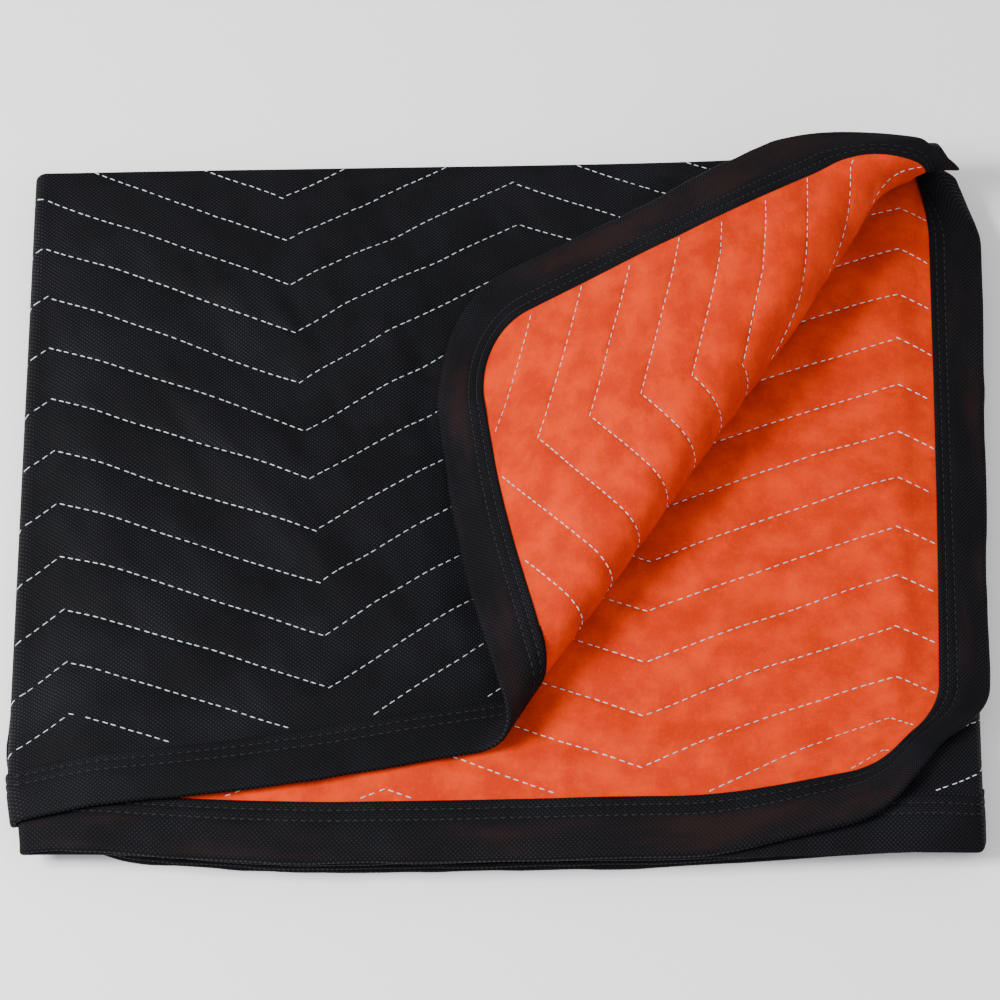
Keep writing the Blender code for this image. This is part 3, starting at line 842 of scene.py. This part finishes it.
tree.links.new(colour, shader.inputs["Base Color"])
soft = bump(tree, felt, 0.0004, 0.5)
tree.links.new(bump(tree, hairs, 0.0003, 0.4, soft), shader.inputs["Normal"])
print("orange cloth made")

# %% [markdown]
# Both cloths are now folded in one go. Each is an open sheet whose rim is hidden under
# the binding, just as in the real pad. The black cloth faces up on the top panel and
# the orange cloth faces up on the turned corner and on the layer below it.

# %% Fold the two cloths
def cloth_piece(name, height, sign, material):
    """A cloth folded to its place, sign 1 for the black side and -1 for the orange."""
    w = sign * height(A_NET, B_NET)
    points = place(A_NET, B_NET, w)
    quads = net_faces(*A_NET.shape, flip=sign < 0)
    piece = mesh_piece(name, points, quads, np.stack([A_NET, B_NET], axis=-1))
    piece.data.materials.append(material)
    return piece


black_sheet = cloth_piece("black_sheet", black_height, 1.0, BLACK_CLOTH)
orange_sheet = cloth_piece("orange_sheet", orange_height, -1.0, ORANGE_CLOTH)
print("cloths have", 2 * len(black_sheet.data.polygons), "triangles each")

# %% [markdown]
# The binding is one strip of the black cloth, folded over the raw edge and sewn on
# with two rows. A cross section, from its inner edge on one side round the rim to its
# inner edge on the other, is carried along the outline. Each sewn row makes a dent.

# %% Outline of the pad
RIM_TOP_STEP, RIM_HIDDEN_STEP, RIM_CORNER_STEP = 0.0026, 0.008, 0.004
QUARTER = CORNER_RADIUS * np.pi / 2
LONG_LEG, SHORT_LEG = PAD_LENGTH - 2 * CORNER_RADIUS, PAD_WIDTH - 2 * CORNER_RADIUS
# columns: a and b where the leg starts, its heading, its length
LEGS = (
    (FAR_END + CORNER_RADIUS, -HALF_WIDTH, 0.0, LONG_LEG),
    (FREE_END, -HALF_WIDTH + CORNER_RADIUS, np.pi / 2, SHORT_LEG),
    (FREE_END - CORNER_RADIUS, HALF_WIDTH, np.pi, LONG_LEG),
    (FAR_END, HALF_WIDTH - CORNER_RADIUS, 3 * np.pi / 2, SHORT_LEG),
)
PERIMETER = 2 * (LONG_LEG + SHORT_LEG) + 4 * QUARTER


def rim_point(s):
    """The rim's a and b at a length s round the outline, and its heading there."""
    a, b, heading = np.zeros_like(s), np.zeros_like(s), np.zeros_like(s)
    start = 0.0
    for a0, b0, head, length in LEGS:
        here = (s >= start) & (s < start + length + QUARTER)
        straight = np.clip(s - start, 0.0, length)
        turned = head + np.clip(s - start - length, 0.0, QUARTER) / CORNER_RADIUS
        round_a = CORNER_RADIUS * (np.sin(turned) - np.sin(head))
        round_b = CORNER_RADIUS * (np.cos(head) - np.cos(turned))
        a = np.where(here, a0 + straight * np.cos(head) + round_a, a)
        b = np.where(here, b0 + straight * np.sin(head) + round_b, b)
        heading = np.where(here, turned, heading)
        start += length + QUARTER
    return a, b, heading


def inset_point(s, e):
    """The flat place e inside the rim, at right angles to it."""
    a, b, heading = rim_point(s)
    return a - e * np.sin(heading), b + e * np.cos(heading)


def rim_stations():
    """Lengths round the outline, crowded where the rim is bent."""
    upper_leg, under_leg = (spaced([
        (FAR_END + CORNER_RADIUS, RIM_HIDDEN_STEP), (RIGHT_FOLD - BENT, FOLD_STEP),
        (RIGHT_FOLD + BENT, RIM_HIDDEN_STEP), (fold_at - BENT, FOLD_STEP),
        (fold_at + BENT, RIM_TOP_STEP), (FREE_END - CORNER_RADIUS, 0.0),
    ]) - FAR_END - CORNER_RADIUS for fold_at in LEFT_FOLD + lean(np.array([-HALF_WIDTH, HALF_WIDTH])))
    half = spaced([(0.0, TIGHT_STEP), (STRAIGHT_TO, RIM_TOP_STEP), (SHORT_LEG / 2, 0.0)])
    short_leg = SHORT_LEG / 2 + np.concatenate([-half[:0:-1], half])
    corner = np.linspace(0.0, QUARTER, int(QUARTER / RIM_CORNER_STEP))[1:-1]
    runs, start = [], 0.0
    for line in (upper_leg, short_leg, LONG_LEG - under_leg[::-1], short_leg):
        runs += [start + line, start + line[-1] + corner]
        start += line[-1] + QUARTER
    return np.concatenate(runs)


STATIONS = rim_stations()
print("outline of", round(PERIMETER, 3), "m in", len(STATIONS), "stations")

# %% [markdown]
# The strip is a little uneven: its rim runs in and out by a millimetre and its faces
# ripple. At each row of stitches it is drawn down. The ends of the section dip just
# below the cloth, so that no gap shows.

# %% The edge binding
ROW_INSETS = (0.0320, 0.0255)
ROW_DENT, ROW_DENT_WIDTH = 0.0006, 0.0013
RIM_ROUND, STRIP_SLACK, STRIP_EDGE, STRIP_EDGE_SPAN = 0.0024, 0.00005, 0.0004, 0.0010
RIPPLE, RIPPLE_SIZE, RIPPLE_SPAN = 0.00022, 0.017, 0.006
WAVER, WAVER_SIZE, WAVER_FINE, WAVER_FINE_SIZE = 0.0008, 0.06, 0.0004, 0.017
SECTION = np.array([0.0386, 0.0380, 0.0370, 0.0350, 0.0334, 0.0320, 0.0306, 0.0288, 0.0270, 0.0255,
                    0.0240, 0.0205, 0.0165, 0.0125, 0.0085, 0.0050, 0.0024, 0.0011, 0.0003])


def strip_height(s, e):
    """Height of the binding's face at e inside the rim, rounded off towards the rim."""
    rise = np.sqrt(np.clip(1.0 - (np.maximum(RIM_ROUND - e, 0.0) / RIM_ROUND) ** 2, 0.0, 1.0))
    height = (BINDING_OUTER - STRIP_SLACK) * rise
    for row in ROW_INSETS:
        height = height - ROW_DENT * np.exp(-((e - row) / ROW_DENT_WIDTH) ** 2)
    ripple = RIPPLE * lattice_noise(s, e, RIPPLE_SIZE, 31) * smooth((e - RIM_ROUND) / RIPPLE_SPAN)
    height = height + ripple
    edge = smooth((BINDING_WIDTH - e) / STRIP_EDGE_SPAN)
    return STRIP_EDGE + (height - STRIP_EDGE) * edge


def rim_waver(s):
    """How far the rim runs in or out, in metres."""
    slow = WAVER * lattice_noise(s, 0 * s, WAVER_SIZE, 32)
    return slow + WAVER_FINE * lattice_noise(s, 0 * s, WAVER_FINE_SIZE, 33)


def binding_strip():
    """The strip's points: stations round the outline by places over its section."""
    inner = np.concatenate([SECTION, [0.0], SECTION[::-1]])
    sign = np.concatenate([np.ones(len(SECTION)), [0.0], -np.ones(len(SECTION))])
    s, e = np.meshgrid(STATIONS, inner, indexing="ij")
    w = sign * strip_height(s, e)
    a, b = inset_point(s, e - rim_waver(s) * smooth((BINDING_WIDTH - e) / BINDING_WIDTH))
    return place(a, b, w), np.stack([s, e * np.where(sign == 0, 1.0, sign)], axis=-1)


def closed_faces(rows, columns):
    """Quads of a net that is closed on itself along its rows."""
    index = np.arange(rows * columns).reshape(rows, columns)
    index = np.concatenate([index, index[:1]], axis=0)
    quads = np.stack([index[:-1, 1:], index[1:, 1:], index[1:, :-1], index[:-1, :-1]], axis=-1)
    return quads.reshape(-1, 4).tolist()


strip_points, strip_flat = binding_strip()
strip_quads = closed_faces(*strip_points.shape[:2])
edge_strip = mesh_piece("edge_strip", strip_points, strip_quads, strip_flat)
print("binding has", 2 * len(strip_quads), "triangles")

# %% [markdown]
# The binding is the same black cloth, pulled tight. Where the strip lies over the
# orange cloth a little warm brown shows through between the second row and the rim,
# in cloudy patches. Its sewn rows are sunk and slightly darker.

# %% Binding shader
SHOW_THROUGH = (0.017, 0.0068, 0.0060, 1.0)

BINDING_CLOTH, tree, shader, colour, inset = black_cloth("black_binding", 0.35)
place_uv = flat_place(tree)[0]
on_orange = ramp(tree, inset, -0.001, -0.004)
clear = math(tree, "MULTIPLY", on_orange, ramp(tree, inset, -0.0262, -0.0225))
clouds = ramp(tree, noise(tree, stretched(tree, place_uv, (11.0, 38.0, 1.0)), 1.0, 3.0), 0.42, 0.72)
patches = math(tree, "MULTIPLY", math(tree, "MULTIPLY", clear, clouds), 0.55)
colour = mix(tree, patches, colour, SHOW_THROUGH)
tree.links.new(colour, shader.inputs["Base Color"])
edge_strip.data.materials.append(BINDING_CLOTH)
print("binding shader made")

# %% [markdown]
# The quilting thread is white and lies on the cloth in short stitches with small gaps.
# One stitch is a spindle: two pointed ends and two rings of four points. All stitches
# of a seam are set out on the flat pad and then folded with it. They are sewn where
# the cloth can be seen, on the top, in the folds' outer sides and underneath.

# %% Stitch meshes
STITCH_PITCH, STITCH_LENGTH, STITCH_HALF, STITCH_RISE = 0.0058, 0.0043, 0.00038, 0.00034
# columns: place along the stitch, share of the width, share of the height
SPINDLE = np.array([
    (-0.50, 0.0, -0.6), (-0.30, -1.0, 0.0), (-0.30, 0.0, 1.0), (-0.30, 1.0, 0.0), (-0.30, 0.0, -1.0),
    (0.30, -1.0, 0.0), (0.30, 0.0, 1.0), (0.30, 1.0, 0.0), (0.30, 0.0, -1.0), (0.50, 0.0, -0.6),
])
SPINDLE_QUADS = ((1, 2, 6, 5), (2, 3, 7, 6), (3, 4, 8, 7), (4, 1, 5, 8))
SPINDLE_TRIANGLES = ((0, 2, 1), (0, 3, 2), (0, 4, 3), (0, 1, 4), (9, 5, 6), (9, 6, 7), (9, 7, 8), (9, 8, 5))
SEAM_ROWS = range(-5, 18)
STEP_SCATTER, SEAM_DRIFT, SEAM_DRIFT_SIZE = 0.00025, 0.0007, 0.03
FOLD_MARGIN = 0.002


def stitch_piece(name, a, b, heading, height, sign, size, material):
    """Stitches at flat places with a heading each, folded onto the cloth's surface."""
    length, half, rise = size
    along = SPINDLE[:, 0] * length
    aside = SPINDLE[:, 1] * half
    ca, sa = np.cos(heading)[:, None], np.sin(heading)[:, None]
    pa = a[:, None] + along * ca - aside * sa
    pb = b[:, None] + along * sa + aside * ca
    w = sign * (height[:, None] + SPINDLE[:, 2] * rise)
    points = place(pa, pb, w)
    first = len(SPINDLE) * np.arange(len(a))[:, None, None]
    quads = (first + np.array(SPINDLE_QUADS)).reshape(-1, 4)
    triangles = (first + np.array(SPINDLE_TRIANGLES)).reshape(-1, 3)
    if sign < 0:
        quads, triangles = quads[:, ::-1], triangles[:, ::-1]
    flat = np.stack([pa, pb], axis=-1)
    piece = mesh_piece(name, points, quads.tolist() + triangles.tolist(), flat)
    piece.data.materials.append(material)
    return piece


def seam_stitches(side, a_from, a_to):
    """Flat places and headings of the stitches on one half's seams, between two a."""
    q = QUILT[side]
    step = STITCH_PITCH * np.cos(np.arctan(q["slope"]))
    draw = np.random.default_rng(41 + side)
    places = []
    for row in SEAM_ROWS:
        a = np.arange(a_from, a_to, step) + draw.uniform(0.0, step)
        a = a + draw.normal(0.0, STEP_SCATTER, len(a))
        b = ride_wave(a, side * (q["start"] + row * q["row"]), side)
        drift = lattice_noise(a, np.full_like(a, row * 0.05), SEAM_DRIFT_SIZE, 51 + side)
        b = b + SEAM_DRIFT * drift
        rising = ((a + q["skew"] * b - q["phase"]) / q["half"]) % 2.0 < 1.0
        heading = np.arctan(np.where(rising, q["slope"], -q["slope"]) + q["tilt"])
        inside = (edge_distance(a, b) > BINDING_WIDTH + QUILT_HEM_GAP) & (side * b > FOLD_MARGIN)
        places.append(np.stack([a, b, heading])[:, inside])
    return np.concatenate(places, axis=1)


THREAD_SIZE = (STITCH_LENGTH, STITCH_HALF, STITCH_RISE)
print("a stitch has", 2 * len(SPINDLE_QUADS) + len(SPINDLE_TRIANGLES), "triangles")

# %% [markdown]
# Spun polyester thread is nearly white with a cool cast and duller stretches. Each
# stitch is let down onto the cloth's own faces, from a little above them, so that none
# sinks out of sight where the net is coarser than the cloth's relief.

# %% Sew the quilting
THREAD_DARK, THREAD_LIGHT = (0.38, 0.42, 0.47, 1.0), (0.62, 0.67, 0.71, 1.0)
THREAD_DULL = (0.30, 0.33, 0.37, 1.0)
SETTLE_REACH, SUNK = 0.0012, 0.45

THREAD, shader = new_material("white_thread", 0.55)
tree = THREAD.node_tree
place_uv = flat_place(tree)[0]
twist = noise(tree, stretched(tree, place_uv, (900.0, 900.0, 1.0)), 1.0, 2.0)
tone = noise(tree, place_uv, 14.0, 2.0)
colour = mix(tree, ramp(tree, twist, 0.3, 0.7), THREAD_DARK, THREAD_LIGHT)
colour = mix(tree, math(tree, "MULTIPLY", ramp(tree, tone, 0.50, 0.75), 0.35), colour, THREAD_DULL)
tree.links.new(colour, shader.inputs["Base Color"])


def settled(a, b, height, sign, sheet):
    """The height at which each stitch meets the cloth's own faces."""
    points = np.empty(3 * len(sheet.data.vertices))
    sheet.data.vertices.foreach_get("co", points)
    faces = [face.vertices[:] for face in sheet.data.polygons]
    cloth = BVHTree.FromPolygons(points.reshape(-1, 3).tolist(), faces)
    above = place(a, b, sign * (height + SETTLE_REACH))
    below = place(a, b, sign * (height - SETTLE_REACH))
    span = np.linalg.norm(below - above, axis=-1)
    rise = np.zeros(len(a))
    for i, (start, end) in enumerate(zip(above, below)):
        distance = cloth.ray_cast(start, end - start, span[i])[3]
        if distance is not None:
            rise[i] = SETTLE_REACH - 2 * SETTLE_REACH * distance / span[i]
    return height + rise


def sew(name, parts, surface, sign, sheet):
    """Thread on one cloth: the stitches of several stretches of its seams."""
    a, b, heading = np.concatenate([seam_stitches(*part) for part in parts], axis=1)
    height = settled(a, b, surface(a, b), sign, sheet) + STITCH_RISE * SUNK
    return stitch_piece(name, a, b, heading, height, sign, THREAD_SIZE, THREAD)


# columns: side of the half fold, from which a, to which a
ON_BLACK = (
    (-1, LEFT_FOLD - 0.03, FREE_END), (1, LEFT_FOLD - 0.02, LEFT_FOLD + 0.02),
    (1, FAR_END, RIGHT_FOLD + 0.14), (-1, RIGHT_FOLD - 0.03, RIGHT_FOLD + 0.05),
)
ON_ORANGE = ((-1, LEFT_FOLD + 0.20, FREE_END), (1, LEFT_FOLD + 0.10, FREE_END))
thread_black = sew("thread_on_black", ON_BLACK, black_height, 1.0, black_sheet)
thread_orange = sew("thread_on_orange", ON_ORANGE, orange_height, -1.0, orange_sheet)
print("thread:", len(thread_black.data.polygons), "and", len(thread_orange.data.polygons), "faces")

# %% [markdown]
# The two rows on the binding are sewn in black thread. They sink into the strip and
# show as fine beads of light.

# %% Sew the binding
EDGE_PITCH = 0.0052
EDGE_SIZE = (0.0038, 0.00042, 0.00034)
EDGE_THREAD_DARK, EDGE_THREAD_LIGHT = (0.010, 0.010, 0.012, 1.0), (0.028, 0.028, 0.032, 1.0)


def binding_stitches(sign, name):
    """Both rows on one face of the binding, all round the outline."""
    s = np.arange(0.0, PERIMETER, EDGE_PITCH)
    runs = []
    for row in ROW_INSETS:
        a, b = inset_point(s, np.full_like(s, row))
        height = strip_height(s, np.full_like(s, row)) + EDGE_SIZE[2] * 0.5
        runs.append(np.stack([a, b, rim_point(s)[2], height]))
    a, b, heading, height = np.concatenate(runs, axis=1)
    return stitch_piece(name, a, b, heading, height, sign, EDGE_SIZE, EDGE_THREAD)


EDGE_THREAD, shader = new_material("black_thread", 0.5)
tree = EDGE_THREAD.node_tree
place_uv = flat_place(tree)[0]
colour = mix(tree, noise(tree, place_uv, 700.0, 2.0), EDGE_THREAD_DARK, EDGE_THREAD_LIGHT)
tree.links.new(colour, shader.inputs["Base Color"])
edge_thread_black = binding_stitches(1.0, "edge_thread_black_side")
edge_thread_orange = binding_stitches(-1.0, "edge_thread_orange_side")
print("binding rows:", len(edge_thread_black.data.polygons) * 2, "faces")

# %% [markdown]
# Every piece rides on the one body, and the solids that the cloths stand for are
# hidden.

# %% Hand over to the frame
PIECES = [black_sheet, orange_sheet, edge_strip, thread_black, thread_orange,
          edge_thread_black, edge_thread_orange]
for piece in PIECES:
    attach(piece, "root")
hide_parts("black_face")
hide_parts("orange_face")
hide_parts("edge_binding")
